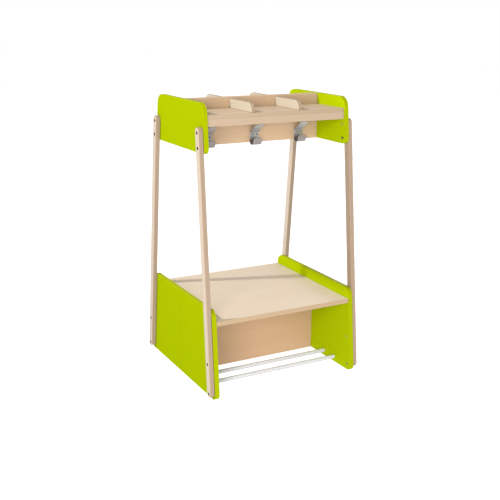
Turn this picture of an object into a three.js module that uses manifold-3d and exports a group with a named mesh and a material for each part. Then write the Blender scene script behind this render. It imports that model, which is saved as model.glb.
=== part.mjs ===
// A children's double-sided coat rack with a bench, in millimetres, +Z up.
// X runs along the bench, Y through its depth (the photographed side faces -Y), and the origin is on the floor under the middle.
// Four slanted legs carry two small side panels at the top and two large ones at the bottom. Between the top panels are
// a pair of centre boards, a shelf with an apron and two dividers on each side, and three double hooks on each side.
// Between the bottom panels are the seat, a pair of boards below its middle and two round shoe rails on each side.
import * as THREE from "three";
import { mergeVertices } from "three/addons/utils/BufferGeometryUtils.js";
import Module from "manifold-3d";

// ---------------------------------------------------------------- driving dimensions
const HEIGHT = 1100; // top of the upper panels
const SLOPE = 0.095; // how far the sloping edges move outwards for each unit down
const TOP_HALF_DEPTH = 209; // half depth of the panels at the very top, before the rounding
const INNER_HALF_WIDTH = 293.7; // from the middle to a panel's inner face
const PANEL_T = 18;
const GAP = 0.3; // between pieces that touch

const UPPER_BOTTOM = 916.5;
const UPPER_TOP_R = 43;
const UPPER_BOTTOM_R = 22;
const LOWER_TOP = 344;
const LOWER_TOP_R = 34;
const LOWER_BOTTOM_R = 22;

const LEG_T = 18; // across
const LEG_W = 32; // through the depth, measured level
const LEG_SET_BACK = 4; // from the panel's sloping edge to the leg's outer edge
const LEG_TOP = 1014;
const LEG_BOTTOM = 12;
const BOLT_Z = [994, 939, 140, 26];
const BOLT_R = 3;
const BOLT_HOLE_R = 3.5;
const BORE_R = 5.4;
const BORE_DEPTH = 3;
const HEAD_R = 4.8;
const HEAD_T = 2;
const SLEEVE_R = 5.5;
const SLEEVE_T = 1.4;

const SEAT_TOP = 301.5;
const SEAT_T = 18;
const SEAT_HALF_DEPTH = 284.5;
const BOARD_T = 15; // shelves, aprons, dividers and the boards under the seat
const SPINE_T = 18; // centre boards

const SPINE_TOP = 1097;
const SHELF_TOP = 1056;
const SHELF_FRONT = 208.5;
const APRON_BOTTOM = 1014;
const DIVIDER_X = 101;
const DIVIDER_TOP = 1092;
const DIVIDER_FRONT = 200;
const DIVIDER_R = 28;

const RAIL_R = 8;
const RAIL_WALL = 1.5;
const RAIL_Z = 21.5;
const RAIL_Y = [118, 194];

const HOOK_X = [-203, 0, 203];
const HOOK_W = 38;
const HOOK_T = 3;
const HOOK_TIP_R = 11; // corners of a prong's tip
const PRONG_UP_Z = 953.5; // where the plate starts to bend into the upper prong
const PRONG_UP_R = 5;
const PRONG_UP_LEAN = 54; // degrees from upright
const PRONG_UP_LENGTH = 62;
const PRONG_LOW_Z = 924.3; // where the plate starts to bend into the lower prong
const PRONG_LOW_R = 14.5;
const PRONG_LOW_TURN = 168; // degrees
const PRONG_LOW_LENGTH = 15.5;
const SCREW_Z = 947.5;
const SCREW_DX = 8.5;
const SCREW_R = 2;
const SCREW_HOLE_R = 2.5;
const SCREW_HEAD_R = 3.8;
const SCREW_HEAD_T = 2.4;
const SCREW_DEPTH = 10;

const edge = (z) => TOP_HALF_DEPTH + SLOPE * (HEIGHT - z); // half depth of the panels at height z

// ---------------------------------------------------------------- materials
const GREEN = 0xbcd000;
const WOOD = 0xe6cfa8;
const BIRCH = 0xe2c79c;
const ZINC = 0x9a9a98;
const DARK = 0x4a4038;
const PALE = 0xdcdcd8;
const mat = (color, roughness, metalness = 0) =>
  new THREE.MeshStandardMaterial({ color, roughness, metalness });

// ---------------------------------------------------------------- joining and cutting
const wasm = await Module();
wasm.setup();

function solid(geometry) {
  const g = geometry.index ? geometry.toNonIndexed() : geometry.clone();
  for (const name of Object.keys(g.attributes))
    if (name !== "position") g.deleteAttribute(name);
  const merged = mergeVertices(g, 1e-4);
  return new wasm.Manifold(
    new wasm.Mesh({
      numProp: 3,
      vertProperties: new Float32Array(merged.attributes.position.array),
      triVerts: new Uint32Array(merged.index.array),
    }),
  );
}

function geometryOf(manifold) {
  const m = manifold.getMesh();
  const g = new THREE.BufferGeometry();
  g.setAttribute(
    "position",
    new THREE.BufferAttribute(new Float32Array(m.vertProperties), 3),
  );
  g.setIndex(new THREE.BufferAttribute(new Uint32Array(m.triVerts), 1));
  g.computeVertexNormals();
  return g;
}

const cut = (base, ...tools) =>
  geometryOf(tools.reduce((s, t) => s.subtract(solid(t)), solid(base)));

// ---------------------------------------------------------------- shapes
// A polygon with its corners rounded: each entry is [x, y, radius].
function rounded(corners, steps = 8) {
  const out = [];
  const n = corners.length;
  corners.forEach(([x, y, r], i) => {
    const p = new THREE.Vector2(x, y);
    if (!r) {
      out.push(p);
      return;
    }
    const [ax, ay] = corners[(i + n - 1) % n];
    const [bx, by] = corners[(i + 1) % n];
    const u = new THREE.Vector2(ax - x, ay - y).normalize();
    const v = new THREE.Vector2(bx - x, by - y).normalize();
    const half = Math.acos(u.dot(v)) / 2;
    const centre = p
      .clone()
      .addScaledVector(u.clone().add(v).normalize(), r / Math.sin(half));
    const from = p.clone().addScaledVector(u, r / Math.tan(half)).sub(centre);
    const to = p.clone().addScaledVector(v, r / Math.tan(half)).sub(centre);
    let a = Math.atan2(from.y, from.x);
    let d = Math.atan2(to.y, to.x) - a;
    if (d > Math.PI) d -= 2 * Math.PI;
    if (d < -Math.PI) d += 2 * Math.PI;
    for (let k = 0; k <= steps; k++) {
      const t = a + (d * k) / steps;
      out.push(
        new THREE.Vector2(centre.x + r * Math.cos(t), centre.y + r * Math.sin(t)),
      );
    }
  });
  return out;
}

function circle(x, y, r, steps = 12) {
  const path = new THREE.Path();
  const pts = [];
  for (let k = 0; k < steps; k++) {
    const t = (-2 * Math.PI * k) / steps;
    pts.push(new THREE.Vector2(x + r * Math.cos(t), y + r * Math.sin(t)));
  }
  path.setFromPoints(pts);
  return path;
}

// An outline in (Y, Z), extruded along +X from x = 0.
function alongX(points, length, holes = []) {
  const shape = new THREE.Shape(points);
  shape.holes.push(...holes);
  const g = new THREE.ExtrudeGeometry(shape, {
    depth: length,
    bevelEnabled: false,
    steps: 1,
  });
  return g.applyMatrix4(
    new THREE.Matrix4().makeBasis(
      new THREE.Vector3(0, 1, 0),
      new THREE.Vector3(0, 0, 1),
      new THREE.Vector3(1, 0, 0),
    ),
  );
}

// A board that runs along X between the panels: its section is a box in (Y, Z) with lightly eased edges.
function board(y0, y1, z0, z1, r = 1.2) {
  const pts = rounded(
    [
      [y0, z0, r],
      [y1, z0, r],
      [y1, z1, r],
      [y0, z1, r],
    ],
    2,
  );
  return alongX(pts, 2 * (INNER_HALF_WIDTH - GAP)).translate(
    -(INNER_HALF_WIDTH - GAP),
    0,
    0,
  );
}

// A turned piece whose axis is X: the profile is a list of [x, radius].
function turned(profile, steps = 12) {
  const pts = profile.map(([x, r]) => new THREE.Vector2(r, x));
  const g = new THREE.LatheGeometry(pts, steps);
  // the lathe's axis Y becomes X
  return g.applyMatrix4(
    new THREE.Matrix4().makeBasis(
      new THREE.Vector3(0, 1, 0),
      new THREE.Vector3(1, 0, 0),
      new THREE.Vector3(0, 0, -1),
    ),
  );
}

const root = new THREE.Group();
root.name = "coat_rack_with_bench";

function add(parent, name, geometry, material) {
  const mesh = new THREE.Mesh(geometry, material);
  mesh.name = name;
  parent.add(mesh);
  return mesh;
}

// ---------------------------------------------------------------- side panels
const legY = (z) => edge(z) - LEG_SET_BACK - LEG_W / 2; // the middle of a leg at height z

function panelGeometry(z0, z1, bottomR, topR, boltHeights) {
  const holes = [];
  for (const s of [-1, 1])
    for (const z of boltHeights) holes.push(circle(s * legY(z), z, BOLT_HOLE_R));
  return alongX(
    rounded([
      [-edge(z0), z0, bottomR],
      [edge(z0), z0, bottomR],
      [edge(z1), z1, topR],
      [-edge(z1), z1, topR],
    ]),
    PANEL_T,
    holes,
  );
}

const upperPanel = panelGeometry(
  UPPER_BOTTOM,
  HEIGHT,
  UPPER_BOTTOM_R,
  UPPER_TOP_R,
  BOLT_Z.slice(0, 2),
);
const lowerPanel = panelGeometry(
  0,
  LOWER_TOP,
  LOWER_BOTTOM_R,
  LOWER_TOP_R,
  BOLT_Z.slice(2),
);

// ---------------------------------------------------------------- legs and their bolts
const LEG_INNER = INNER_HALF_WIDTH + PANEL_T + GAP;
const LEG_OUTER = LEG_INNER + LEG_T;
const legR = (LEG_W / 2) * Math.cos(Math.atan(SLOPE)); // half of the leg's true width

function legOutline(sy) {
  const zTop = LEG_TOP - legR;
  const zBottom = LEG_BOTTOM + legR;
  const tilt = Math.atan(SLOPE);
  const pts = [];
  for (let k = 0; k <= 12; k++) {
    const t = tilt + (Math.PI * k) / 12;
    pts.push([legY(zTop) + legR * Math.cos(t), zTop + legR * Math.sin(t)]);
  }
  for (let k = 0; k <= 12; k++) {
    const t = tilt + Math.PI + (Math.PI * k) / 12;
    pts.push([legY(zBottom) + legR * Math.cos(t), zBottom + legR * Math.sin(t)]);
  }
  const out = pts.map(([y, z]) => new THREE.Vector2(sy * y, z));
  return sy < 0 ? out.reverse() : out;
}

function legGeometry(sx, sy) {
  const base = alongX(legOutline(sy), LEG_T).translate(
    sx > 0 ? LEG_INNER : -LEG_OUTER,
    0,
    0,
  );
  const tools = [];
  for (const z of BOLT_Z) {
    const bore = turned([
      [LEG_INNER - 2, 0],
      [LEG_INNER - 2, BOLT_HOLE_R],
      [LEG_OUTER - BORE_DEPTH, BOLT_HOLE_R],
      [LEG_OUTER - BORE_DEPTH, BORE_R],
      [LEG_OUTER + 2, BORE_R],
      [LEG_OUTER + 2, 0],
    ]);
    if (sx < 0) bore.rotateZ(Math.PI);
    tools.push(bore.translate(0, sy * legY(z), z));
  }
  return cut(base, ...tools);
}

const boltProfile = [
  [INNER_HALF_WIDTH - GAP - SLEEVE_T, 0],
  [INNER_HALF_WIDTH - GAP - SLEEVE_T, SLEEVE_R - 0.6],
  [INNER_HALF_WIDTH - GAP - SLEEVE_T + 0.6, SLEEVE_R],
  [INNER_HALF_WIDTH - GAP, SLEEVE_R],
  [INNER_HALF_WIDTH - GAP, BOLT_R],
  [LEG_OUTER - BORE_DEPTH + GAP, BOLT_R],
  [LEG_OUTER - BORE_DEPTH + GAP, HEAD_R],
  [LEG_OUTER - BORE_DEPTH + GAP + HEAD_T, HEAD_R],
  [LEG_OUTER - BORE_DEPTH + GAP + HEAD_T, 2.1],
  [LEG_OUTER - BORE_DEPTH + GAP + HEAD_T - 1.2, 2.1],
  [LEG_OUTER - BORE_DEPTH + GAP + HEAD_T - 1.2, 0],
];

for (const [sideName, sx] of [
  ["left", -1],
  ["right", 1],
]) {
  const side = new THREE.Group();
  side.name = "side_" + sideName;
  root.add(side);
  const upper = add(side, "panel_upper_" + sideName, upperPanel, mat(GREEN, 0.4));
  const lower = add(side, "panel_lower_" + sideName, lowerPanel, mat(GREEN, 0.4));
  for (const panel of [upper, lower])
    panel.position.x = sx > 0 ? INNER_HALF_WIDTH : -INNER_HALF_WIDTH - PANEL_T;
  for (const [endName, sy] of [
    ["front", -1],
    ["back", 1],
  ]) {
    const tag = endName + "_" + sideName;
    add(side, "leg_" + tag, legGeometry(sx, sy), mat(WOOD, 0.5));
    BOLT_Z.forEach((z, i) => {
      const bolt = add(
        side,
        "bolt_" + tag + "_" + (i + 1),
        turned(boltProfile),
        mat(DARK, 0.4, 0.8),
      );
      if (sx < 0) bolt.rotation.z = Math.PI;
      bolt.position.set(0, sy * legY(z), z);
    });
  }
}

// ---------------------------------------------------------------- seat
add(
  root,
  "seat",
  board(-SEAT_HALF_DEPTH, SEAT_HALF_DEPTH, SEAT_TOP - SEAT_T, SEAT_TOP, 2),
  mat(WOOD, 0.45),
);

// ---------------------------------------------------------------- hooks
// A hook is a bent strip, drawn in (forward, z) as a line down its middle and given its thickness.
function hookGeometry() {
  const u0 = GAP + HOOK_T / 2;
  const deg = Math.PI / 180;
  const mid = [];
  // The plate lies against the board. Above it the strip leans forward, about a centre in front of the plate's top,
  // and below it turns upwards into the lower prong.
  const arcEnd = [
    u0 + PRONG_UP_R * (1 - Math.cos(PRONG_UP_LEAN * deg)),
    PRONG_UP_Z + PRONG_UP_R * Math.sin(PRONG_UP_LEAN * deg),
  ];
  mid.push([
    arcEnd[0] + PRONG_UP_LENGTH * Math.sin(PRONG_UP_LEAN * deg),
    arcEnd[1] + PRONG_UP_LENGTH * Math.cos(PRONG_UP_LEAN * deg),
  ]);
  for (let k = 5; k >= 0; k--) {
    const t = (PRONG_UP_LEAN * k) / 5;
    mid.push([
      u0 + PRONG_UP_R * (1 - Math.cos(t * deg)),
      PRONG_UP_Z + PRONG_UP_R * Math.sin(t * deg),
    ]);
  }
  for (let k = 0; k <= 12; k++) {
    const t = 180 + (PRONG_LOW_TURN * k) / 12;
    mid.push([
      u0 + PRONG_LOW_R + PRONG_LOW_R * Math.cos(t * deg),
      PRONG_LOW_Z + PRONG_LOW_R * Math.sin(t * deg),
    ]);
  }
  const last = mid[mid.length - 1];
  const rise = (PRONG_LOW_TURN - 90) * deg;
  mid.push([
    last[0] + PRONG_LOW_LENGTH * Math.cos(rise),
    last[1] + PRONG_LOW_LENGTH * Math.sin(rise),
  ]);
  // give the line its thickness
  const offset = (s) =>
    mid.map((p, i) => {
      const a = mid[Math.max(0, i - 1)];
      const b = mid[Math.min(mid.length - 1, i + 1)];
      const t1 = new THREE.Vector2(p[0] - a[0], p[1] - a[1]);
      const t2 = new THREE.Vector2(b[0] - p[0], b[1] - p[1]);
      if (!t1.length()) t1.copy(t2);
      if (!t2.length()) t2.copy(t1);
      t1.normalize();
      t2.normalize();
      const n = new THREE.Vector2(-(t1.y + t2.y), t1.x + t2.x).normalize();
      const k = 1 / Math.max(0.5, n.dot(new THREE.Vector2(-t1.y, t1.x)));
      return [p[0] + n.x * s * k, p[1] + n.y * s * k];
    });
  const ring = [
    ...offset(HOOK_T / 2),
    ...offset(-HOOK_T / 2).reverse(),
  ];
  // forward is -Y
  let pts = ring.map(([u, z]) => new THREE.Vector2(-u, z));
  if (THREE.ShapeUtils.area(pts) < 0) pts = pts.reverse();
  const strip = alongX(pts, HOOK_W).translate(-HOOK_W / 2, 0, 0);

  // what is cut from each corner of a prong's tip to round it: drawn in (across, along the prong)
  const tools = [];
  const trim = (start, tip, length) => {
    const d = [(tip[0] - start[0]) / length, (tip[1] - start[1]) / length];
    for (const s of [-1, 1]) {
      const outline = [];
      for (let k = 0; k <= 6; k++) {
        const t = (90 * k) / 6;
        outline.push([
          HOOK_W / 2 - HOOK_TIP_R + HOOK_TIP_R * Math.cos(t * deg),
          length - HOOK_TIP_R + HOOK_TIP_R * Math.sin(t * deg),
        ]);
      }
      outline.push([HOOK_W / 2 - HOOK_TIP_R, length + 4]);
      outline.push([HOOK_W / 2 + 4, length + 4]);
      outline.push([HOOK_W / 2 + 4, length - HOOK_TIP_R]);
      let poly = outline.map(([x, l]) => new THREE.Vector2(s * x, l));
      if (THREE.ShapeUtils.area(poly) < 0) poly = poly.reverse();
      const g = new THREE.ExtrudeGeometry(new THREE.Shape(poly), {
        depth: 12,
        bevelEnabled: false,
        steps: 1,
      }).translate(0, 0, -6);
      // local x stays X, local y runs along the prong, local z is the prong's normal
      const along = new THREE.Vector3(0, -d[0], d[1]);
      const across = new THREE.Vector3(1, 0, 0);
      const normal = new THREE.Vector3().crossVectors(across, along);
      g.applyMatrix4(
        new THREE.Matrix4()
          .makeBasis(across, along, normal)
          .setPosition(0, -start[0], start[1]),
      );
      tools.push(g);
    }
  };
  trim(arcEnd, mid[0], PRONG_UP_LENGTH);
  trim(last, mid[mid.length - 1], PRONG_LOW_LENGTH);
  // the two screw holes
  for (const s of [-1, 1]) {
    const hole = turned([
      [-8, 0],
      [-8, SCREW_HOLE_R],
      [8, SCREW_HOLE_R],
      [8, 0],
    ]);
    hole.rotateZ(Math.PI / 2);
    tools.push(hole.translate(s * SCREW_DX, 0, SCREW_Z));
  }
  return cut(strip, ...tools);
}

const screwProfile = [
  [-SCREW_DEPTH, 0],
  [-SCREW_DEPTH, SCREW_R * 0.5],
  [-SCREW_DEPTH + 2.5, SCREW_R],
  [GAP + HOOK_T + GAP, SCREW_R],
  [GAP + HOOK_T + GAP, SCREW_HEAD_R],
  [GAP + HOOK_T + GAP + SCREW_HEAD_T * 0.5, SCREW_HEAD_R],
  [GAP + HOOK_T + GAP + SCREW_HEAD_T, SCREW_HEAD_R * 0.6],
  [GAP + HOOK_T + GAP + SCREW_HEAD_T, 0],
];

// ---------------------------------------------------------------- the two sides of the middle
// Each side is modelled facing -Y, and the back one is the same turned half round.
const hook = hookGeometry();
const SPINE_FACE = -(GAP / 2 + SPINE_T);

function dividerGeometry() {
  const y0 = SPINE_FACE - GAP;
  const y1 = -DIVIDER_FRONT;
  const z0 = SHELF_TOP + GAP;
  const yTop = y1 + SLOPE * (DIVIDER_TOP - z0);
  const pts = rounded([
    [y1, z0, 0],
    [y0, z0, 0],
    [y0, DIVIDER_TOP, 1.2],
    [yTop, DIVIDER_TOP, DIVIDER_R],
  ]);
  return alongX(pts, BOARD_T).translate(-BOARD_T / 2, 0, 0);
}
const divider = dividerGeometry();

function spineGeometry() {
  const base = board(SPINE_FACE, -GAP / 2, UPPER_BOTTOM, SPINE_TOP);
  const tools = [];
  for (const x of HOOK_X)
    for (const s of [-1, 1]) {
      const hole = turned([
        [-12, 0],
        [-12, SCREW_HOLE_R],
        [4, SCREW_HOLE_R],
        [4, 0],
      ]);
      hole.rotateZ(-Math.PI / 2);
      tools.push(hole.translate(x + s * SCREW_DX, SPINE_FACE, SCREW_Z));
    }
  return cut(base, ...tools);
}
const spine = spineGeometry();

for (const [sideName, turn] of [
  ["front", 0],
  ["back", Math.PI],
]) {
  const half = new THREE.Group();
  half.name = "half_" + sideName;
  half.rotation.z = turn;
  root.add(half);
  // left and right are named as seen from the front
  const label = (i, n) => {
    const k = turn ? n - 1 - i : i;
    return n === 2 ? ["left", "right"][k] : ["left", "middle", "right"][k];
  };

  add(half, "spine_" + sideName, spine, mat(BIRCH, 0.5));
  add(
    half,
    "shelf_" + sideName,
    board(-SHELF_FRONT, SPINE_FACE - GAP, SHELF_TOP - BOARD_T, SHELF_TOP),
    mat(BIRCH, 0.5),
  );
  add(
    half,
    "apron_" + sideName,
    board(
      -SHELF_FRONT,
      -SHELF_FRONT + BOARD_T,
      APRON_BOTTOM,
      SHELF_TOP - BOARD_T - GAP,
    ),
    mat(BIRCH, 0.5),
  );
  [-DIVIDER_X, DIVIDER_X].forEach((x, i) => {
    const d = add(
      half,
      "divider_" + sideName + "_" + label(i, 2),
      divider,
      mat(BIRCH, 0.5),
    );
    d.position.x = x;
  });
  add(
    half,
    "seat_board_" + sideName,
    board(-GAP / 2 - BOARD_T, -GAP / 2, 0, SEAT_TOP - SEAT_T - GAP),
    mat(BIRCH, 0.5),
  );
  RAIL_Y.forEach((y, i) => {
    const rail = add(
      half,
      "shoe_rail_" + sideName + "_" + ["inner", "outer"][i],
      turned(
        [
          [-INNER_HALF_WIDTH + GAP, RAIL_R - RAIL_WALL],
          [-INNER_HALF_WIDTH + GAP, RAIL_R],
          [INNER_HALF_WIDTH - GAP, RAIL_R],
          [INNER_HALF_WIDTH - GAP, RAIL_R - RAIL_WALL],
          [-INNER_HALF_WIDTH + GAP, RAIL_R - RAIL_WALL],
        ],
        16,
      ),
      mat(PALE, 0.3, 0.2),
    );
    rail.position.set(0, -y, RAIL_Z);
  });
  HOOK_X.forEach((x, i) => {
    const holder = new THREE.Group();
    holder.position.set(x, SPINE_FACE, 0);
    half.add(holder);
    const name = sideName + "_" + label(i, 3);
    add(holder, "hook_" + name, hook, mat(ZINC, 0.35, 0.8));
    [-1, 1].forEach((s, j) => {
      const screw = add(
        holder,
        "screw_" + name + "_" + label(j, 2),
        turned(screwProfile),
        mat(ZINC, 0.35, 0.8),
      );
      screw.rotation.z = -Math.PI / 2;
      screw.position.set(s * SCREW_DX, 0, SCREW_Z);
    });
  });
}

export default root;
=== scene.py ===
"""A low, double-sided coat rack with a bench: its looks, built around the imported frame.

Sizes in this file are in millimetres, in the frame's own axes, and each mesh is scaled to metres as it is made.
"""

import math

import bpy
import bmesh
from mathutils import Matrix, Vector
from mathutils.geometry import tessellate_polygon


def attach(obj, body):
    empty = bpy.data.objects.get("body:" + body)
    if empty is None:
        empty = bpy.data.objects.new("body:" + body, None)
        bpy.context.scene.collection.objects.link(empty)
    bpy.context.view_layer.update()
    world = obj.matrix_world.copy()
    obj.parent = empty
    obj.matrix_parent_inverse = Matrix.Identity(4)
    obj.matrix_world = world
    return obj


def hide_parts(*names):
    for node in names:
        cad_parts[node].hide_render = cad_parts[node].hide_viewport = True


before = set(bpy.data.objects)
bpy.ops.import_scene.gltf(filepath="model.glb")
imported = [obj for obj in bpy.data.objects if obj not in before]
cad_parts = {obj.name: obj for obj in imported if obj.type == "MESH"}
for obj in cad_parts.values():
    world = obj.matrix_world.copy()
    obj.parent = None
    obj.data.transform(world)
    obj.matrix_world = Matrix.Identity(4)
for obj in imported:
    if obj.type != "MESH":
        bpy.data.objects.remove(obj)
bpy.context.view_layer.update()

MM = 0.001

# ---------------------------------------------------------------- dimensions
HEIGHT = 1100.0
SLOPE = 0.095                  # a leg's lean, front to back
HALF_TOP = 209.0               # half depth of a side panel at the very top
PANEL_IN, PANEL_OUT = 293.7, 311.7
LEG_IN, LEG_OUT = 312.0, 330.0
LEG_WIDE = 32.0
LEG_R = LEG_WIDE / 2 * math.cos(math.atan(SLOPE))
LEG_TOP, LEG_LOW = 998.07, 27.93
BOARD_END = 293.4
UPPER = (916.5, 1100.0)
LOWER = (0.0, 344.0)
SEAT = (283.5, 301.5)
BOLT_Z = (994.0, 939.0, 140.0, 26.0)
HOOK_X = (-203.0, 0.0, 203.0)
SPINE_FACE = 18.15
DIVIDER_X = 101.0


def edge_y(z):
    return HALF_TOP + SLOPE * (HEIGHT - z)


def leg_y(z):
    return edge_y(z) - 4 - LEG_WIDE / 2


# ---------------------------------------------------------------- node trees
def clean_material(name):
    m = bpy.data.materials.new(name)
    m.use_nodes = True
    t = m.node_tree
    t.nodes.clear()
    out = t.nodes.new("ShaderNodeOutputMaterial")
    b = t.nodes.new("ShaderNodeBsdfPrincipled")
    t.links.new(b.outputs["BSDF"], out.inputs["Surface"])
    return m, t, b


def put(t, kind, props=None, **sockets):
    n = t.nodes.new(kind)
    for k, v in (props or {}).items():
        setattr(n, k, v)
    for k, v in sockets.items():
        s = n.inputs[int(k[1:])] if k[0] == "i" and k[1:].isdigit() else n.inputs[k.replace("_", " ")]
        if isinstance(v, bpy.types.NodeSocket):
            t.links.new(v, s)
        else:
            s.default_value = v
    return n


def maths(t, op, a, b=0.0, clamp=False):
    return put(t, "ShaderNodeMath", {"operation": op, "use_clamp": clamp}, i0=a, i1=b).outputs[0]


def blend_of(t, parts, start=0.5):
    """start plus each (socket - middle) * weight, kept from 0 to 1."""
    total = None
    for socket, middle, weight in parts:
        term = maths(t, "MULTIPLY_ADD", socket, weight)
        term.node.inputs[2].default_value = -middle * weight + (start if total is None else 0.0)
        total = term if total is None else maths(t, "ADD", total, term)
    return maths(t, "ADD", total, 0.0, clamp=True)


def ramp(t, fac, low, high):
    return put(t, "ShaderNodeMapRange", {"clamp": True, "interpolation_type": "SMOOTHSTEP"}, Value=fac, From_Min=low, From_Max=high).outputs[0]


def spread(t, fac, low, high):
    return put(t, "ShaderNodeMapRange", {"clamp": True}, Value=fac, To_Min=low, To_Max=high).outputs[0]


def two_tone(t, fac, dark, light):
    return put(t, "ShaderNodeMix", {"data_type": "RGBA"}, i0=fac, i6=(*dark, 1), i7=(*light, 1)).outputs[2]


def tint(colour, by):
    return tuple(min(1.0, max(0.0, c * k)) for c, k in zip(colour, by))


def axes_space(t, along, across, through, stretch, offset):
    """Object position measured along three directions, the first shortened so that a pattern is drawn out along it."""
    here = put(t, "ShaderNodeTexCoord").outputs["Object"]
    parts = []
    for direction, k in ((along, stretch), (across, 1.0), (through, 1.0)):
        d = Vector(direction).normalized() * k
        parts.append(put(t, "ShaderNodeVectorMath", {"operation": "DOT_PRODUCT"}, i0=here, i1=tuple(d)).outputs["Value"])
    joined = put(t, "ShaderNodeCombineXYZ", X=parts[0], Y=parts[1], Z=parts[2]).outputs[0]
    return put(t, "ShaderNodeVectorMath", {"operation": "ADD"}, i0=joined, i1=tuple(offset)).outputs[0]


def noise(t, where, scale, detail=2.0, rough=0.5):
    return put(t, "ShaderNodeTexNoise", Vector=where, Scale=scale, Detail=detail, Roughness=rough).outputs[0]


def bump(t, b, height, strength, distance):
    n = put(t, "ShaderNodeBump", Strength=strength, Distance=distance, Height=height)
    t.links.new(n.outputs["Normal"], b.inputs["Normal"])


def wood(name, colour, along, across, through, seed, figure=0.3, period=0.016, gloss=(0.36, 0.5)):
    """Pale close-grained wood under clear satin varnish, with the grain along one direction."""
    m, t, b = clean_material(name)
    off = (seed * 1.37, seed * 0.73 + 0.11, seed * 0.41)
    broad = axes_space(t, along, across, through, 0.10, off)
    fine = axes_space(t, along, across, through, 0.018, off)
    short = axes_space(t, along, across, through, 0.13, off)
    tone = noise(t, broad, 11.0, 2.0)
    bands = put(t, "ShaderNodeTexWave", {"wave_type": "BANDS", "bands_direction": "Y", "wave_profile": "SIN"},
                Vector=broad, Scale=2 * math.pi / (20 * period), Distortion=7.0, Detail=2.0, Detail_Scale=0.55, Detail_Roughness=0.55).outputs["Fac"]
    fibre = noise(t, fine, 1250.0, 3.0, 0.6)
    pores = ramp(t, noise(t, short, 620.0, 1.0, 0.4), 0.60, 0.70)
    f = blend_of(t, ((tone, 0.5, 0.7), (bands, 0.5, figure), (fibre, 0.5, 0.55), (pores, 0.12, -0.24)))
    t.links.new(two_tone(t, f, tint(colour, (0.935, 0.912, 0.88)), tint(colour, (1.06, 1.08, 1.105))), b.inputs["Base Color"])
    t.links.new(spread(t, fibre, *gloss), b.inputs["Roughness"])
    bump(t, b, maths(t, "SUBTRACT", fibre, maths(t, "MULTIPLY", pores, 0.35)), 0.22, 0.00012)
    b.inputs["Specular IOR Level"].default_value = 0.22
    return m


def ply_edge(name, colour, along, across, through, seed, ply=1.4, start=0.0, lines=0.34):
    """The edge of a laminated board: thin plies stacked through its thickness, turn and turn about with and across the grain."""
    m, t, b = clean_material(name)
    off = (seed * 0.9, seed * 0.37, 0.0)
    long_space = axes_space(t, along, across, through, 0.05, off)
    here = put(t, "ShaderNodeTexCoord").outputs["Object"]
    level = put(t, "ShaderNodeVectorMath", {"operation": "DOT_PRODUCT"}, i0=here, i1=tuple(Vector(through).normalized() * (math.pi / (ply * MM)))).outputs["Value"]
    waver = noise(t, long_space, 120.0, 2.0)
    wobble = maths(t, "MULTIPLY_ADD", waver, 0.9)
    wobble.node.inputs[2].default_value = -start * math.pi / ply - 0.45
    plies = maths(t, "MULTIPLY_ADD", maths(t, "SINE", maths(t, "ADD", level, wobble)), 0.5)
    plies.node.inputs[2].default_value = 0.5
    layer = ramp(t, plies, 0.30, 0.70)
    glue = maths(t, "SUBTRACT", 1.0, ramp(t, maths(t, "ABSOLUTE", maths(t, "SUBTRACT", plies, 0.5)), 0.0, 0.16))
    end_grain = noise(t, axes_space(t, along, across, through, 1.0, off), 2600.0, 2.0, 0.6)
    tone = noise(t, long_space, 20.0, 2.0)
    f = blend_of(t, ((layer, 0.5, lines), (glue, 0.2, -0.20), (end_grain, 0.5, 0.45), (tone, 0.5, 0.7)))
    t.links.new(two_tone(t, f, tint(colour, (0.86, 0.80, 0.73)), tint(colour, (1.11, 1.16, 1.22))), b.inputs["Base Color"])
    t.links.new(spread(t, end_grain, 0.44, 0.62), b.inputs["Roughness"])
    bump(t, b, maths(t, "ADD", layer, maths(t, "MULTIPLY", end_grain, 0.6)), 0.2, 0.00010)
    b.inputs["Specular IOR Level"].default_value = 0.18
    return m


def laminate(name, colour, seed):
    """Coloured high-pressure laminate with a fine pearl texture and faint handling marks in its sheen."""
    m, t, b = clean_material(name)
    off = (seed * 0.31, seed * 0.17, seed * 0.23)
    here = axes_space(t, (1, 0, 0), (0, 1, 0), (0, 0, 1), 1.0, off)
    cloud = noise(t, here, 5.0, 3.0)
    grit = noise(t, here, 1500.0, 2.0, 0.55)
    pearl = put(t, "ShaderNodeTexVoronoi", {"feature": "SMOOTH_F1"}, Vector=here, Scale=620.0, Smoothness=0.6).outputs["Distance"]
    rub = ramp(t, noise(t, axes_space(t, (0, 0.3, 1), (0, 1, -0.3), (1, 0, 0), 0.25, off), 26.0, 4.0, 0.65), 0.52, 0.72)
    f = blend_of(t, ((cloud, 0.5, 0.8), (grit, 0.5, 0.5)))
    t.links.new(two_tone(t, f, tint(colour, (0.976, 0.976, 0.8)), tint(colour, (1.02, 1.02, 1.2))), b.inputs["Base Color"])
    t.links.new(blend_of(t, ((rub, 0.3, 0.13), (grit, 0.5, 0.10)), 0.40), b.inputs["Roughness"])
    bump(t, b, maths(t, "ADD", pearl, maths(t, "MULTIPLY", grit, 0.3)), 0.10, 0.00014)
    b.inputs["Specular IOR Level"].default_value = 0.0
    return m


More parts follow.
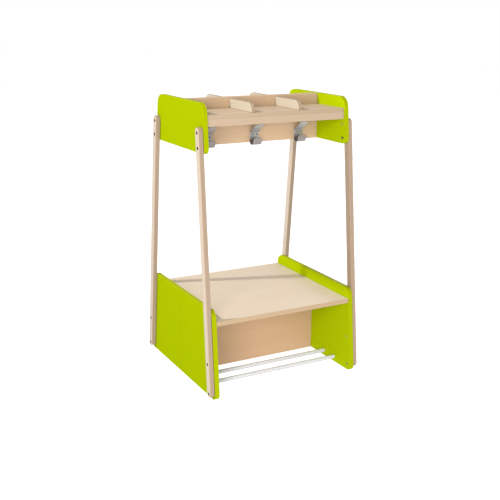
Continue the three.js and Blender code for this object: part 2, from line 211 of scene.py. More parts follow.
def edging(name, colour, seed):
    """Plastic edge band: one tone lighter than the face, a little glossier, with faint lines where the scraper ran along it."""
    m, t, b = clean_material(name)
    off = (seed * 0.29, seed * 0.13, seed * 0.19)
    here = axes_space(t, (1, 0, 0), (0, 1, 0), (0, 0, 1), 1.0, off)
    cloud = noise(t, here, 9.0, 3.0)
    scrape = noise(t, axes_space(t, (0, 1, 0), (1, 0, 0), (0, 0, 1), 0.04, off), 700.0, 2.0)
    f = blend_of(t, ((cloud, 0.5, 0.8), (scrape, 0.5, 0.5)))
    t.links.new(two_tone(t, f, tint(colour, (0.965, 0.965, 0.8)), tint(colour, (1.03, 1.03, 1.2))), b.inputs["Base Color"])
    t.links.new(spread(t, scrape, 0.26, 0.42), b.inputs["Roughness"])
    bump(t, b, maths(t, "ADD", scrape, cloud), 0.12, 0.00010)
    b.inputs["Specular IOR Level"].default_value = 0.015
    b.inputs["Specular Tint"].default_value = (1.0, 1.0, 0.3, 1)
    return m


def metal(name, colour, seed, rough=(0.3, 0.46), along=(0, 0, 1), across=(1, 0, 0), through=(0, 1, 0), patch=0.6, brushed=0.5, strength=0.15, metallic=1.0, spec=0.5, bend=None):
    """Plated steel: fine drawn lines along one direction, and slightly uneven plating; below the heights in bend it
    turns darker, which is painted shade.
    """
    m, t, b = clean_material(name)
    off = (seed * 0.21, seed * 0.57, seed * 0.33)
    lines = noise(t, axes_space(t, along, across, through, 0.02, off), 2600.0, 2.0, 0.6)
    here = axes_space(t, along, across, through, 1.0, off)
    plate_patch = noise(t, here, 90.0, 3.0, 0.6)
    grit = noise(t, here, 2400.0, 2.0, 0.6)
    f = blend_of(t, ((lines, 0.5, brushed), (plate_patch, 0.5, patch), (grit, 0.5, 0.3)))
    bright = two_tone(t, f, tint(colour, (0.82, 0.82, 0.83)), tint(colour, (1.18, 1.18, 1.17)))
    # painted shade: below the heights in bend the plating turns a dark purple-brown, standing in for the shade inside
    # the hook's lower bend
    if bend:
        height = put(t, "ShaderNodeSeparateXYZ", Vector=put(t, "ShaderNodeTexCoord").outputs["Object"]).outputs["Z"]
        unshaded_share = ramp(t, maths(t, "ADD", height, maths(t, "MULTIPLY", maths(t, "SUBTRACT", plate_patch, 0.5), 0.012)), *bend)
        painted_shade_tone = two_tone(t, f, tint(colour, (0.34, 0.26, 0.28)), tint(colour, (0.50, 0.40, 0.42)))
        bright = put(t, "ShaderNodeMix", {"data_type": "RGBA"}, i0=unshaded_share, i6=painted_shade_tone, i7=bright).outputs[2]
    t.links.new(bright, b.inputs["Base Color"])
    t.links.new(blend_of(t, ((lines, 0.5, 0.10), (plate_patch, 0.5, 0.30)), sum(rough) / 2), b.inputs["Roughness"])
    bump(t, b, maths(t, "ADD", maths(t, "MULTIPLY", lines, 0.7), maths(t, "MULTIPLY", grit, 0.4)), strength, 0.00006)
    b.inputs["Metallic"].default_value = metallic
    b.inputs["Specular IOR Level"].default_value = spec
    return m


def powder(name, colour, seed, low, high):
    """Pale powder coat on a steel tube, with the fine orange peel that it dries to, and darker towards its underside,
    which is painted shade.
    """
    m, t, b = clean_material(name)
    off = (seed * 0.43, seed * 0.27, seed * 0.61)
    here = axes_space(t, (1, 0, 0), (0, 1, 0), (0, 0, 1), 1.0, off)
    cloud = noise(t, here, 14.0, 3.0)
    peel = noise(t, here, 900.0, 2.0, 0.45)
    scuff = ramp(t, noise(t, axes_space(t, (1, 0, 0), (0, 1, 0), (0, 0, 1), 0.3, off), 60.0, 4.0, 0.7), 0.60, 0.78)
    f = blend_of(t, ((cloud, 0.5, 0.6), (peel, 0.5, 0.4), (scuff, 0.15, -0.45)))
    # painted shade: below the heights low to high the coat turns to a darker copy of itself
    height = put(t, "ShaderNodeSeparateXYZ", Vector=put(t, "ShaderNodeTexCoord").outputs["Object"]).outputs["Z"]
    unshaded_share = ramp(t, maths(t, "ADD", height, maths(t, "MULTIPLY", maths(t, "SUBTRACT", cloud, 0.5), 0.004)), low, high)
    coat = two_tone(t, f, tint(colour, (0.94, 0.94, 0.93)), tint(colour, (1.04, 1.04, 1.04)))
    painted_underside_shade = two_tone(t, f, tint(colour, (0.66, 0.66, 0.66)), tint(colour, (0.76, 0.76, 0.76)))
    t.links.new(put(t, "ShaderNodeMix", {"data_type": "RGBA"}, i0=unshaded_share, i6=painted_underside_shade, i7=coat).outputs[2], b.inputs["Base Color"])
    t.links.new(blend_of(t, ((peel, 0.5, 0.12), (scuff, 0.2, 0.16)), 0.36), b.inputs["Roughness"])
    bump(t, b, peel, 0.22, 0.00012)
    b.inputs["Specular IOR Level"].default_value = 0.35
    return m


# ---------------------------------------------------------------- mesh making
class Shell:
    """Points and faces of one piece, in millimetres."""

    def __init__(self):
        self.points, self.faces, self.slots = [], [], []

    def add(self, points):
        start = len(self.points)
        self.points.extend(points)
        return list(range(start, len(self.points)))

    def face(self, corners, slot=0):
        self.faces.append(tuple(corners))
        self.slots.append(slot)

    def bridge(self, a, b, slot=0):
        for i in range(len(a)):
            j = (i + 1) % len(a)
            self.face((a[i], a[j], b[j], b[i]), slot)

    def fill(self, loops, flat, slot=0):
        """A flat face with holes: loops of point numbers, and their flat positions."""
        order = [i for loop in loops for i in loop]
        for tri in tessellate_polygon([[Vector((u, v, 0)) for u, v in f] for f in flat]):
            self.face([order[k] for k in tri], slot)


def soft_normals(me, angle=math.radians(42)):
    """Rounded edges shade smoothly and the flats beside them stay flat: a corner's normal is the mean, by area, of the faces that meet there within the angle."""
    limit = math.cos(angle)
    normal = [p.normal.copy() for p in me.polygons]
    area = [max(p.area, 1e-12) for p in me.polygons]
    around = [[] for _ in me.vertices]
    for p in me.polygons:
        for v in p.vertices:
            around[v].append(p.index)
    out = [None] * len(me.loops)
    for p in me.polygons:
        n = normal[p.index]
        for li in p.loop_indices:
            total = Vector((0, 0, 0))
            for q in around[me.loops[li].vertex_index]:
                if normal[q].dot(n) > limit:
                    total += normal[q] * area[q]
            out[li] = total.normalized() if total.length > 0 else n
    me.polygons.foreach_set("use_smooth", [True] * len(me.polygons))
    me.normals_split_custom_set(out)


def make(name, shell, materials, node):
    me = bpy.data.meshes.new(name)
    me.from_pydata([tuple(c * MM for c in p) for p in shell.points], [], shell.faces)
    me.polygons.foreach_set("material_index", shell.slots)
    bm = bmesh.new()
    bm.from_mesh(me)
    bmesh.ops.remove_doubles(bm, verts=bm.verts, dist=1e-7)
    bmesh.ops.recalc_face_normals(bm, faces=bm.faces)
    bm.to_mesh(me)
    bm.free()
    for m in materials:
        me.materials.append(m)
    me.update()
    soft_normals(me)
    ob = bpy.data.objects.new(name, me)
    bpy.context.scene.collection.objects.link(ob)
    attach(ob, "root")
    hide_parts(node)
    return ob


# outlines are lists of (u, v, normal u, normal v), counterclockwise
def fillet(corners):
    doubled = sum(a[0] * b[1] - b[0] * a[1] for a, b in zip(corners, corners[1:] + corners[:1]))
    pts = list(corners) if doubled > 0 else list(reversed(corners))
    out = []
    for i, (u, v, r) in enumerate(pts):
        pu, pv, _ = pts[i - 1]
        qu, qv, _ = pts[(i + 1) % len(pts)]
        la, lb = math.hypot(u - pu, v - pv), math.hypot(qu - u, qv - v)
        au, av, bu, bv = (u - pu) / la, (v - pv) / la, (qu - u) / lb, (qv - v) / lb
        turn = math.atan2(au * bv - av * bu, au * bu + av * bv)
        back = r * math.tan(turn / 2)
        cu, cv = u - au * back - av * r, v - av * back + au * r
        steps = max(3, math.ceil(abs(turn) / (math.pi / 2) * min(22, 4 + r)))
        for k in range(steps + 1):
            a = turn * k / steps
            nu, nv = av * math.cos(a) + au * math.sin(a), av * math.sin(a) - au * math.cos(a)
            out.append((cu + nu * r, cv + nv * r, nu, nv))
    return out


def rectangle(u0, v0, u1, v1, r):
    return fillet([(u0, v0, r), (u1, v0, r), (u1, v1, r), (u0, v1, r)])


def ring(u, v, r, count=40):
    return [(u + r * math.cos(2 * math.pi * k / count), v + r * math.sin(2 * math.pi * k / count)) for k in range(count)]


def plate(shell, outline, thick, place, ease, holes=(), grooves=(), face=0, band=1, high_face=0, bore=None, score=0, steps=4):
    """A board: an outline extruded, its long edges rounded, bored by holes (u, v, [(radius, depth), ...] from the low face to the high one),
    and scored on its high face by grooves (u, low v, high v, width, depth)."""
    half = [(ease * (1 - math.sin(math.pi / 2 * k / steps)), ease * (1 - math.cos(math.pi / 2 * k / steps))) for k in range(steps + 1)]
    rows = half + [(inset, thick - t) for inset, t in reversed(half)]
    flats = [[(u - nu * inset, v - nv * inset) for u, v, nu, nv in outline] for inset, _ in rows]
    loops = [shell.add([place(u, v, t) for u, v in flat]) for flat, (_, t) in zip(flats, rows)]
    for a, b in zip(loops, loops[1:]):
        shell.bridge(a, b, band)
    low, high = [loops[0]], [loops[-1]]
    low_flat, high_flat = [flats[0]], [flats[-1]]
    for u, v, profile in holes:
        made = [shell.add([place(p, q, t) for p, q in ring(u, v, r)]) for r, t in profile]
        for a, b in zip(made, made[1:]):
            shell.bridge(a, b, face if bore is None else bore)
        low.append(made[0])
        low_flat.append(ring(u, v, profile[0][0]))
        high.append(made[-1])
        high_flat.append(ring(u, v, profile[-1][0]))
    for u, v0, v1, wide, deep in grooves:
        flat = [(u - wide / 2, v0), (u + wide / 2, v0), (u + wide / 2, v1), (u - wide / 2, v1)]
        a, b, c, d = shell.add([place(p, q, thick) for p, q in flat])
        e, f = shell.add([place(u, v0 + wide, thick - deep), place(u, v1 - wide, thick - deep)])
        shell.face((a, e, f, d), score)
        shell.face((b, c, f, e), score)
        shell.face((a, b, e), score)
        shell.face((c, d, f), score)
        high.append([a, b, c, d])
        high_flat.append(flat)
    shell.fill(low, low_flat, face)
    shell.fill(high, high_flat, high_face)


# ---------------------------------------------------------------- colours (linear)
LIME_FACE = (0.330, 0.415, 0.0010)
# the outer faces: the inner laminate's tone darkened as painted shade
LIME_OUTER = (0.243, 0.300, 0.0004)
LIME_BAND = (0.308, 0.357, 0.0009)
# each leg's tones, its wide face, then its edge, set leg by leg: painted light and shade, lighter where a face is lit
# and darker where it lies in shade
LEG = {"front_left": ((0.394, 0.322, 0.247), (0.336, 0.246, 0.174)), "back_left": ((0.375, 0.305, 0.243), (0.330, 0.237, 0.172)),
       "front_right": ((0.320, 0.227, 0.156), (0.358, 0.256, 0.184)), "back_right": ((0.423, 0.348, 0.278), (0.290, 0.212, 0.152))}
# painted shade: the near-black tone of the bolt holes' and counterbores' walls, standing in for the shade in these
# recesses
BORE = (0.050, 0.034, 0.022)
SEAT_TOP = (0.602, 0.494, 0.376)
SEAT_EDGE = (0.428, 0.303, 0.188)
SHELF = (0.522, 0.389, 0.271)
SHELF_EDGE = (0.388, 0.291, 0.192)
APRON = (0.424, 0.315, 0.217)
SPINE = (0.514, 0.364, 0.232)
DIVIDER = (0.452, 0.390, 0.298)
DIVIDER_EDGE = (0.356, 0.268, 0.177)
UNDER = (0.500, 0.318, 0.188)
ZINC = (0.34, 0.335, 0.325)
# painted shade: the strip's board-facing side is a darker, browner copy of the plating
ZINC_REAR = (0.255, 0.232, 0.222)     # the strip's other side, fitted darker
BRIGHT = (0.50, 0.50, 0.49)
# near black: on the outer bolt heads a dark bolt colour deepened as painted shade of their counterbores; in the screws'
# cross recesses painted shade
DARK = (0.012, 0.010, 0.009)
SLEEVE = (0.48, 0.50, 0.12)      # fitted; the real nuts' plating isn't known
RAIL = (0.625, 0.620, 0.635)

X, Y, Z = (1, 0, 0), (0, 1, 0), (0, 0, 1)

# ---------------------------------------------------------------- side panels
for side, s in (("left", -1), ("right", 1)):
    out_place = lambda u, v, t, s=s: (s * (PANEL_IN + t), u, v)
    for level, (z0, z1), r_top, r_low, bolts in (("upper", UPPER, 43.0, 22.0, BOLT_Z[:2]), ("lower", LOWER, 34.0, 22.0, BOLT_Z[2:])):
        seed = 3.0 + 2.1 * s + (0.6 if level == "upper" else 0.0)
        # inner and outer faces are one laminate, their tones fitted apart under these lights: the outer faces' darker
        # tone is painted shade
        mats = [laminate(f"lime_laminate_in_{level}_{side}", LIME_FACE, seed), edging(f"lime_edging_{level}_{side}", LIME_BAND, seed),
                laminate(f"lime_laminate_out_{level}_{side}", LIME_OUTER, seed + 0.7)]
        foot = edge_y(z0) - (0.12 if level == "lower" else 0.0)
        outline = fillet([(-foot, z0, r_low), (foot, z0, r_low), (edge_y(z1), z1, r_top), (-edge_y(z1), z1, r_top)])
        holes = [(e * leg_y(z), z, [(3.8, 0.0), (3.5, 0.3), (3.5, 17.7), (3.8, 18.0)]) for e in (-1, 1) for z in bolts]
        grooves = [(0.0, 1.8, 301.0, 0.9, 0.7)] if level == "lower" else []
        shell = Shell()
        if grooves:
            # painted shade: the scored line's walls take a darker copy of the outer laminate
            mats.append(laminate(f"lime_score_{level}_{side}", tint(LIME_OUTER, (0.52, 0.52, 1.0)), seed + 1.1))     # darker, so that the scored line shows
        plate(shell, outline, 18.0, out_place, 1.1, holes, grooves, high_face=2, score=3)
        make(f"side_panel_{level}_{side}", shell, mats, f"panel_{level}_{side}")

# ---------------------------------------------------------------- legs and their bolts
SEGMENTS = 48


def turned(shell, place, rows, slot_of):
    """Rings of one turned piece: rows of (along, radius)."""
    loops = []
    for along, radius in rows:
        loops.append(shell.add([place(along, radius * math.cos(2 * math.pi * k / SEGMENTS), radius * math.sin(2 * math.pi * k / SEGMENTS)) for k in range(SEGMENTS)]))
    for (t, _), a, b in zip(rows[1:], loops, loops[1:]):
        shell.bridge(a, b, slot_of(t))
    return loops


def recess(shell, place, rim, surface, shape, depth, floor_drop, slot, taper=0.86):
    """A driver recess sunk from a rim ring: shape(angle) is its outline's radius. depth and floor_drop point into the head."""
    angles = [2 * math.pi * k / SEGMENTS for k in range(SEGMENTS)]
    steps = ((1.0, 0.0), (0.97, 0.08), (taper, 1.0))
    last = rim
    for scale, down in steps:
        loop = shell.add([place(surface + depth * down, shape(a) * scale * math.cos(a), shape(a) * scale * math.sin(a)) for a in angles])
        shell.bridge(last, loop, slot)
        last = loop
    centre = shell.add([place(surface + depth + floor_drop, 0, 0)])[0]
    for k in range(SEGMENTS):
        shell.face((last[k], last[(k + 1) % SEGMENTS], centre), slot)


def hexagon(across):
    def radius(a):
        b = (a + math.pi / 6) % (math.pi / 3) - math.pi / 6
        return across / 2 / math.cos(b)
    return radius


def cross(arm, half_wide):
    def radius(a):
        b = abs((a + math.pi / 4) % (math.pi / 2) - math.pi / 4)
        return min(arm, half_wide / max(math.sin(b), 1e-6))
    return radius


# the same nut in four tones, set nut by nut to how each one looks: painted light and shade
SLEEVE_TONE = (0.74, 0.20, 0.84, 0.50)      # fitted nut by nut

for side, s in (("left", -1), ("right", 1)):
    for end, e in (("front", -1), ("back", 1)):
        seed = 11.0 + 3 * s + e
        grain = Vector((0, -e * SLOPE, 1)).normalized()
        across = Vector((0, 1, e * SLOPE)).normalized()
        mat = wood(f"leg_wood_{end}_{side}", LEG[f"{end}_{side}"][0], grain, across, X, seed, figure=0.16, period=0.013)
        edge_mat = ply_edge(f"leg_edge_{end}_{side}", LEG[f"{end}_{side}"][1], grain, across, X, seed, 1.385, s * LEG_IN)
        outline = []
        for z, turn in ((LEG_LOW, math.pi), (LEG_TOP, 0.0)):
            start = math.atan2(across[2], across[1]) + turn
            for k in range(29):
                a = start + math.pi * k / 28
                outline.append((e * leg_y(z) + LEG_R * math.cos(a), z + LEG_R * math.sin(a), math.cos(a), math.sin(a)))
        place = lambda u, v, t, s=s: (s * (LEG_IN + t), u, v)
        # painted shadow: a flat ring of the bores' dark tone on the leg's face round the two upper counterbores, whose
        # dots look larger
        holes = [(e * leg_y(z), z, [(3.8, 0.0), (3.5, 0.3), (3.5, 15.0), (5.4, 15.0), (5.4, 17.6), (5.75, 18.0)] + ([(6.6, 18.0)] if z > 500 else [])) for z in BOLT_Z]
        shell = Shell()
        plate(shell, outline, 18.0, place, 2.2, holes, bore=2, steps=5)
        # the hole walls take this material: painted shade
        bore_shade_mat = ply_edge(f"leg_bore_{end}_{side}", BORE, X, Y, Z, seed + 0.5, 1.385)
        make(f"slanted_leg_{end}_{side}", shell, [mat, edge_mat, bore_shade_mat], f"leg_{end}_{side}")
        for number, z in enumerate(BOLT_Z, 1):
            y = e * leg_y(z)
            place = lambda t, p, q, s=s, y=y, z=z: (s * t, y + p, z + q)
            zinc = metal(f"sleeve_zinc_{end}_{side}_{number}", tint(SLEEVE, (SLEEVE_TONE[number - 1],) * 3), seed + number, (0.36, 0.5), X, Y, Z, metallic=0.5)
            # the outer head and its socket: a dark bolt colour, deepened to near black as painted shade
            dark = metal(f"bolt_dark_{end}_{side}_{number}", DARK, seed + number, (0.46, 0.60), X, Y, Z, metallic=0.0, spec=0.10)
            shell = Shell()
            rows = [(292.0, 3.2), (292.0, 4.7), (292.12, 5.15), (292.4, 5.42), (292.75, 5.5), (293.66, 5.5), (293.66, 3.35), (304.6, 3.35), (305.0, 3.0),
                    (327.06, 3.0), (327.06, 4.8), (328.6, 4.8), (328.95, 4.72), (329.2, 4.45), (329.3, 4.1), (329.3, 2.9)]
            loops = turned(shell, place, rows, lambda t: 0 if t < 304.8 else 1)
            recess(shell, place, loops[0], 292.0, hexagon(3.9), 1.1, 0.4, 0)
            recess(shell, place, loops[-1], 329.3, hexagon(3.9), -1.2, -0.4, 1)
            make(f"leg_bolt_{end}_{side}_{number}", shell, [zinc, dark], f"bolt_{end}_{side}_{number}")

# ---------------------------------------------------------------- seat
top_wood = wood("seat_wood_face", SEAT_TOP, X, Y, Z, 21.0, figure=0.07, period=0.022)
edge_wood = ply_edge("seat_wood_edge", SEAT_EDGE, X, Y, Z, 21.5, 1.385, SEAT[0])
shell = Shell()
plate(shell, rectangle(-BOARD_END, -284.5, BOARD_END, 284.5, 2.6), SEAT[1] - SEAT[0], lambda u, v, t: (u, v, SEAT[0] + t), 1.6)
make("bench_board", shell, [top_wood, edge_wood], "seat")

# ---------------------------------------------------------------- the two like halves
for end, e in (("front", -1), ("back", 1)):
    seed = 31.0 + e * 4
    thin = lambda y0: (lambda u, v, t, e=e, y0=y0: (u, e * (y0 + t), v))

    face = wood(f"spine_face_{end}", SPINE, X, Z, Y, seed, figure=0.07, period=0.02)
    band = ply_edge(f"spine_edge_{end}", SPINE, X, Z, Y, seed, 1.385, 0.15)
    shell = Shell()
    plate(shell, rectangle(-BOARD_END, 916.5, BOARD_END, 1097.0, 1.6), 18.0, thin(0.15), 1.0)
    make(f"centre_board_{end}", shell, [face, band], f"spine_{end}")

    face = wood(f"under_face_{end}", UNDER, X, Z, Y, seed + 1, figure=0.10, period=0.024)
    band = ply_edge(f"under_edge_{end}", UNDER, X, Z, Y, seed + 1, 1.37, 0.15)
    shell = Shell()
    plate(shell, rectangle(-BOARD_END, 0.0, BOARD_END, 283.2, 1.6), 15.0, thin(0.15), 1.0)
    make(f"under_seat_board_{end}", shell, [face, band], f"seat_board_{end}")

    face = wood(f"shelf_face_{end}", SHELF, X, Y, Z, seed + 2, figure=0.14, period=0.018)
    band = ply_edge(f"shelf_edge_{end}", SHELF_EDGE, X, Y, Z, seed + 2, 1.37, 1041.0, lines=0.2)
    shell = Shell()
    plate(shell, rectangle(-BOARD_END, 18.45, BOARD_END, 208.5, 1.6), 15.0, lambda u, v, t, e=e: (u, e * v, 1041.0 + t), 0.6)
    make(f"hat_shelf_{end}", shell, [face, band], f"shelf_{end}")

    face = wood(f"apron_face_{end}", APRON, X, Z, Y, seed + 3, figure=0.14, period=0.012)
    band = ply_edge(f"apron_edge_{end}", APRON, X, Z, Y, seed + 3, 1.37, 193.5)
    shell = Shell()
    plate(shell, rectangle(-BOARD_END, 1014.0, BOARD_END, 1040.96, 0.5), 15.0, thin(193.5), 0.5)
    make(f"shelf_apron_{end}", shell, [face, band], f"apron_{end}")

    for side, s in (("left", -1), ("right", 1)):
        face = wood(f"divider_face_{end}_{side}", DIVIDER, Y, Z, X, seed + 4 + s, figure=0.16, period=0.012)
        # painted light: the back dividers' edges take a greyer copy of the edge tone, for the pale look of their tops
        band = ply_edge(f"divider_edge_{end}_{side}", DIVIDER_EDGE if end == "front" else tint(DIVIDER_EDGE, (0.96, 1.02, 1.2)), (0, 1, 0.01), Z, X, seed + 4 + s, 1.37, s * DIVIDER_X - 7.5)
        outline = fillet([(e * 18.45, 1056.3, 1.4), (e * 200.0, 1056.3, 1.4), (e * 196.6, 1092.0, 28.0), (e * 18.45, 1092.0, 1.4)])
        shell = Shell()
        plate(shell, outline, 15.0, lambda u, v, t, s=s: (s * DIVIDER_X - 7.5 + t, u, v), 1.0)
        make(f"shelf_divider_{end}_{side}", shell, [face, band], f"divider_{end}_{side}")

    for rail, y in (("inner", 118.0), ("outer", 194.0)):
        # 0.0145 to 0.0275 m: the heights over which the rail's painted underside shade gives way to the plain coat
        coat = powder(f"rail_coat_{end}_{rail}", RAIL, seed + y * 0.1, 0.0145, 0.0275)
        shell = Shell()
        rows = [(-293.66, 6.5), (-293.66, 7.6), (-293.52, 7.88), (-293.2, 8.0), (-100.0, 8.0), (100.0, 8.0), (293.2, 8.0), (293.52, 7.88), (293.66, 7.6), (293.66, 6.5), (100.0, 6.5), (-100.0, 6.5)]
        loops = turned(shell, lambda t, p, q, y=y, e=e: (t, e * y + p, 21.5 + q), rows, lambda t: 0)
        shell.bridge(loops[-1], loops[0], 0)
        make(f"shoe_rail_tube_{end}_{rail}", shell, [coat], f"shoe_rail_{end}_{rail}")

# ---------------------------------------------------------------- hooks: one bent strip each
STRIP_T, STRIP_W, TIP_R = 3.0, 38.0, 11.0
U0 = 1.8
UP_STRAIGHT, UP_R, UP_TURN = 62.0, 5.0, math.radians(54)
PLATE_TOP, PLATE_LOW = 953.5, 924.3
LOW_R, LOW_TURN, LOW_STRAIGHT = 14.5, math.radians(168), 15.5
S1 = UP_STRAIGHT
S2 = S1 + UP_R * UP_TURN
S3 = S2 + PLATE_TOP - PLATE_LOW
S4 = S3 + LOW_R * LOW_TURN
S5 = S4 + LOW_STRAIGHT


def strip_line(s):
    """Where the strip's middle line is at s, and its direction: (u, z, du, dz). s runs from the upper tip to the lower one."""
    if s < S1:
        au, az = U0 + UP_R * (1 - math.cos(UP_TURN)), PLATE_TOP + UP_R * math.sin(UP_TURN)
        du, dz = -math.sin(UP_TURN), -math.cos(UP_TURN)
        return au - du * (S1 - s), az - dz * (S1 - s), du, dz
    if s < S2:
        a = UP_TURN - (s - S1) / UP_R
        return U0 + UP_R * (1 - math.cos(a)), PLATE_TOP + UP_R * math.sin(a), -math.sin(a), -math.cos(a)
    if s < S3:
        return U0, PLATE_TOP - (s - S2), 0.0, -1.0
    a = min((s - S3) / LOW_R, LOW_TURN)
    u, z = U0 + LOW_R * (1 - math.cos(a)), PLATE_LOW - LOW_R * math.sin(a)
    du, dz = math.sin(a), -math.cos(a)
    rest = max(0.0, s - S4)
    return u + du * rest, z + dz * rest, du, dz


def hook_shell(x0, e):
    shell = Shell()

    def place(s, x, t):
        u, z, du, dz = strip_line(s)
        # t is measured from the side that faces the board to the side that faces forward
        return (x0 + x, e * (SPINE_FACE + u - dz * (t - STRIP_T / 2)), z + du * (t - STRIP_T / 2))

    stations = []
    for k in range(15):
        a = math.pi / 2 * k / 14
        stations.append((TIP_R * (1 - math.cos(a)), STRIP_W / 2 - TIP_R + TIP_R * math.sin(a), -math.cos(a), math.sin(a)))
    for lo, hi, n in ((TIP_R, S1, 3), (S1, S2, 8), (S2, S3, 2), (S3, S4, 30), (S4, S5 - TIP_R, 2)):
        for k in range(1, n + 1):
            stations.append((lo + (hi - lo) * k / n, STRIP_W / 2, 0.0, 1.0))
    for k in range(1, 15):
        a = math.pi / 2 * k / 14
        stations.append((S5 - TIP_R + TIP_R * math.sin(a), STRIP_W / 2 - TIP_R + TIP_R * math.cos(a), math.sin(a), math.cos(a)))
    ease, steps = 0.45, 3
    half = [(ease * (1 - math.sin(math.pi / 2 * k / steps)), ease * (1 - math.cos(math.pi / 2 * k / steps))) for k in range(steps + 1)]
    rows = half + [(inset, STRIP_T - t) for inset, t in reversed(half)]
    loops = []
    for inset, t in rows:
        right = [place(s - ns * inset, w - nw * inset, t) for s, w, ns, nw in stations]
        left = [place(s - ns * inset, -(w - nw * inset), t) for s, w, ns, nw in reversed(stations)]
        loops.append(shell.add(right + left))
    for a, b in zip(loops, loops[1:]):
        shell.bridge(a, b, 0)
    n = len(stations)
    for loop, slot in ((loops[0], 1), (loops[-1], 0)):
        for i in range(n - 1):
            shell.face((loop[i], loop[i + 1], loop[2 * n - 2 - i], loop[2 * n - 1 - i]), slot)
    return shell


for end, e in (("front", -1), ("back", 1)):
    for index, x in enumerate(HOOK_X):
        # the halves are the same piece turned round, so left and right trade places in x only by name
        label = ("left", "middle", "right")[index]
        # bend: the heights, in metres, below which the plating is darkened as painted shade
        plating = metal(f"hook_zinc_{end}_{label}", ZINC, 51.0 + index * 2 + e, (0.26, 0.38), Z, X, Y, patch=0.8, metallic=0.42, bend=(0.921, 0.939))
        rear = metal(f"hook_zinc_rear_{end}_{label}", ZINC_REAR, 61.0 + index * 2 + e, (0.34, 0.46), Z, X, Y, patch=0.8, metallic=0.42)
        make(f"coat_hook_{end}_{label}", hook_shell(x, e), [plating, rear], f"hook_{end}_{label}")
        for side, sx in (("left", -8.5), ("right", 8.5)):
            head = metal(f"screw_zinc_{end}_{label}_{side}", BRIGHT, 71.0 + index * 3 + sx + e, (0.26, 0.4), Y, X, Z, metallic=0.7)
            # the cross recess is near black: painted shade in the recess
            slot = metal(f"screw_slot_{end}_{label}_{side}", DARK, 71.0 + index * 3 + sx + e, (0.5, 0.6), Y, X, Z, metallic=0.0, spec=0.1)
            shell = Shell()
            spin = 0.35 * index + (0.6 if sx > 0 else 0.1)

            def place(t, p, q, x=x + sx, e=e, spin=spin):
                c, d = math.cos(spin), math.sin(spin)
                return (x + c * p - d * q, e * (SPINE_FACE + t), 947.5 + d * p + c * q)
            rows = [(-10.0, 0.4), (-8.6, 1.3), (-7.6, 1.9), (-7.0, 2.0), (3.34, 2.0), (3.34, 3.6), (3.5, 3.8), (4.1, 3.8), (4.7, 3.62), (5.2, 3.3), (5.6, 2.88), (5.85, 2.45)]
            loops = turned(shell, place, rows, lambda t: 0)
            tip = shell.add([place(-10.0, 0, 0)])[0]
            for k in range(SEGMENTS):
                shell.face((loops[0][k], loops[0][(k + 1) % SEGMENTS], tip), 0)
            recess(shell, place, loops[-1], 6.0, cross(2.3, 0.52), -1.5, -0.4, 1, taper=0.72)
            make(f"hook_screw_{end}_{label}_{side}", shell, [head, slot], f"screw_{end}_{label}_{side}")

# ---------------------------------------------------------------- floor, light, camera
SKY = 0.620                    # what lights the object from all round; the backdrop itself stays white
FLOOR_TONE = 0.22
FLOOR_GLOW = 1.066
LAMPS = [
    ("key", "POINT", (-3.36, 0.94, 3.88), 0.12, 700.0),
    ("diagonal_fill", "AREA", (-3.4, -4.0, 2.0), (2.0, 2.0), 180.0),
    ("low_fill", "AREA", (-1.6, -3.5, 0.85), (3.6, 1.5), 40.0),
    ("back_fill", "AREA", (4.0, 2.4, 1.3), (3.4, 2.4), 95.0),
]

m, t, b = clean_material("floor_paper")
paper = noise(t, axes_space(t, X, Y, Z, 1.0, (0, 0, 0)), 3.0, 3.0)
t.links.new(two_tone(t, paper, (FLOOR_TONE * 0.99,) * 3, (FLOOR_TONE * 1.01,) * 3), b.inputs["Base Color"])
b.inputs["Roughness"].default_value = 0.9
b.inputs["Specular IOR Level"].default_value = 0.0
b.inputs["Emission Color"].default_value = (1, 1, 1, 1)
b.inputs["Emission Strength"].default_value = FLOOR_GLOW
me = bpy.data.meshes.new("floor")
R, count = 14.0, 96
me.from_pydata([(R * math.cos(2 * math.pi * k / count), R * math.sin(2 * math.pi * k / count), -0.0002) for k in range(count)], [], [tuple(range(count))])
me.materials.append(m)
floor = bpy.data.objects.new("floor", me)
bpy.context.scene.collection.objects.link(floor)

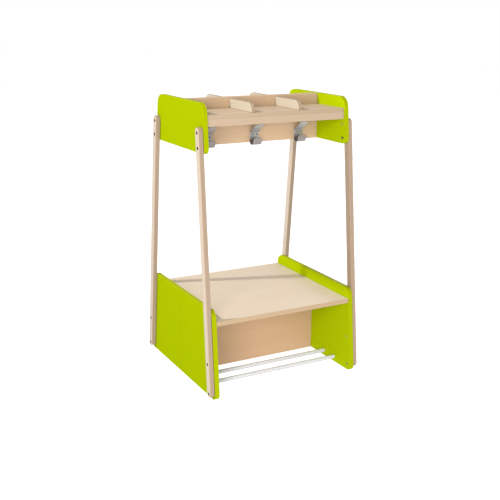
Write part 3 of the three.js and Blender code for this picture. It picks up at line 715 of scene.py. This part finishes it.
world = bpy.data.worlds.new("studio")
world.use_nodes = True
t = world.node_tree
t.nodes.clear()
out = put(t, "ShaderNodeOutputWorld")
sky = put(t, "ShaderNodeBackground", Color=(1, 1, 1, 1), Strength=SKY)
paper_white = put(t, "ShaderNodeBackground", Color=(1, 1, 1, 1), Strength=1.0)
seen = put(t, "ShaderNodeLightPath").outputs["Is Camera Ray"]
t.links.new(put(t, "ShaderNodeMixShader", i0=seen, i1=sky.outputs[0], i2=paper_white.outputs[0]).outputs[0], out.inputs["Surface"])
bpy.context.scene.world = world

for name, kind, where, size, power in LAMPS:
    lamp = bpy.data.lights.new(name, kind)
    lamp.energy = power
    if kind == "POINT":
        lamp.shadow_soft_size = size
    else:
        lamp.shape = "RECTANGLE"
        lamp.size, lamp.size_y = size
    ob = bpy.data.objects.new(name, lamp)
    aim = Vector((0.0, 0.0, 0.55)) - Vector(where)
    ob.rotation_euler = aim.to_track_quat("-Z", "Y").to_euler()
    ob.location = where
    bpy.context.scene.collection.objects.link(ob)

yaw, pitch, roll = math.radians(28.3109), math.radians(-13.1984), math.radians(0.4643)
forward = Vector((math.sin(yaw) * math.cos(pitch), math.cos(yaw) * math.cos(pitch), math.sin(pitch)))
right = Vector((math.cos(yaw), -math.sin(yaw), 0))
up = right.cross(forward)
cam_x = right * math.cos(roll) + up * math.sin(roll)
cam_y = -right * math.sin(roll) + up * math.cos(roll)
cam = bpy.data.cameras.new("camera")
cam.sensor_fit = "HORIZONTAL"
cam.sensor_width = 36.0
cam.lens = 61.2355
cam.shift_y = -0.075
cam.clip_end = 100.0
eye = bpy.data.objects.new("camera", cam)
rot = [[cam_x[i], cam_y[i], -forward[i]] for i in range(3)]
eye.matrix_world = Matrix.Translation((-1.5912139, -2.9456714, 1.4117950)) @ Matrix(rot).to_4x4()
bpy.context.scene.collection.objects.link(eye)
bpy.context.scene.camera = eye

scene = bpy.context.scene
scene.view_settings.view_transform = "Standard"
scene.view_settings.look = "None"
scene.view_settings.exposure = 0.0
scene.view_settings.gamma = 1.0

bpy.context.view_layer.update()
